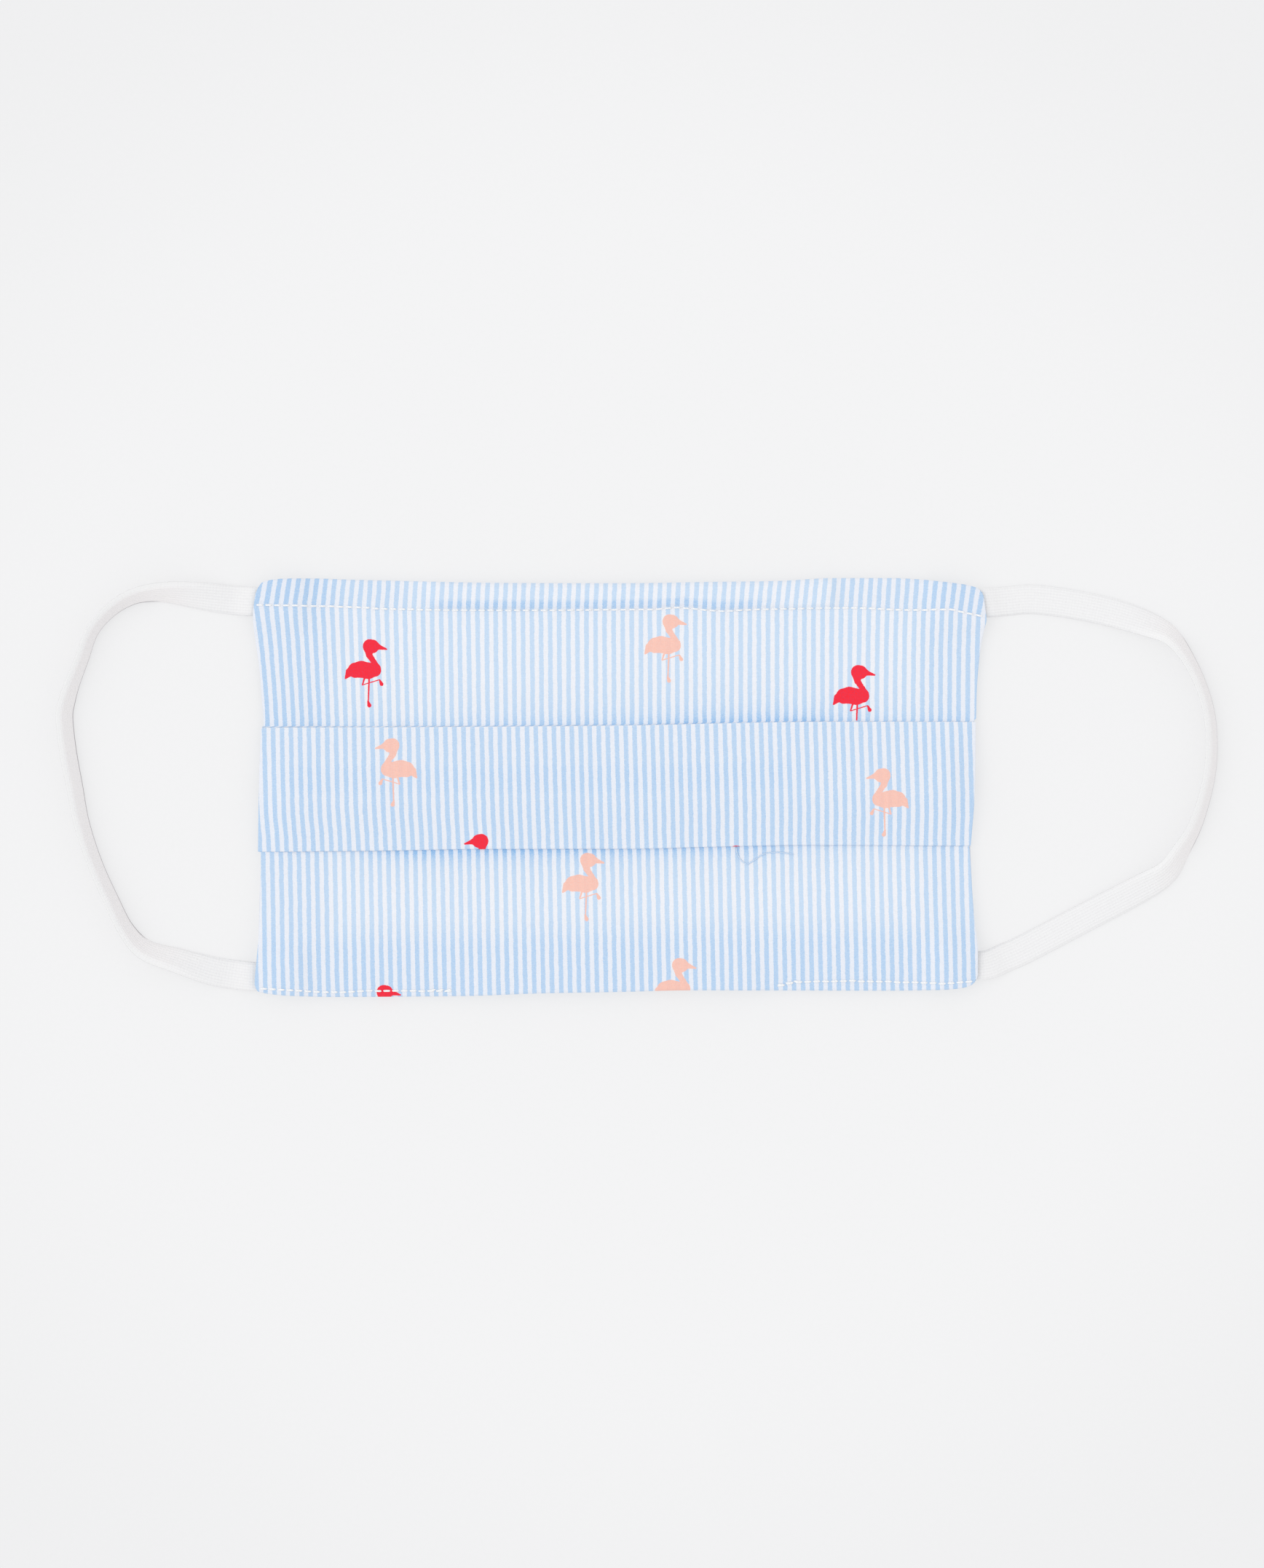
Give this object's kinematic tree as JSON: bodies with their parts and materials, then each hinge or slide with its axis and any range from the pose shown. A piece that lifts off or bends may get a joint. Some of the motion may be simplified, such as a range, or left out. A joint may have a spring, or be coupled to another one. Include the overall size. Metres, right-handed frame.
{
  "type": "cloth face mask",
  "caption": "Pleated two-ply cloth face mask with flat elastic ear loops, a nose wire and a filter slot, lying flat.",
  "frame": {"origin": "centre of the mask body on the surface it lies on", "axes": "+X across the face towards the right ear loop as seen from the outside, +Y from the chin edge to the nose edge, +Z out of the outer cloth"},
  "size_m": [0.2788, 0.1011, 0.0071],
  "materials": {
    "striped_cloth": "matte woven cotton, light blue and white stripes with small red and pink birds",
    "elastic": "soft knitted elastic, white",
    "coated_wire": "satin plastic coating"
  },
  "bodies": {
    "root": {"front_cloth": "striped_cloth", "back_cloth": "striped_cloth", "nose_wire": "coated_wire", "ear_loop_left": "elastic", "ear_loop_right": "elastic"}
  },
  "joints": []
}
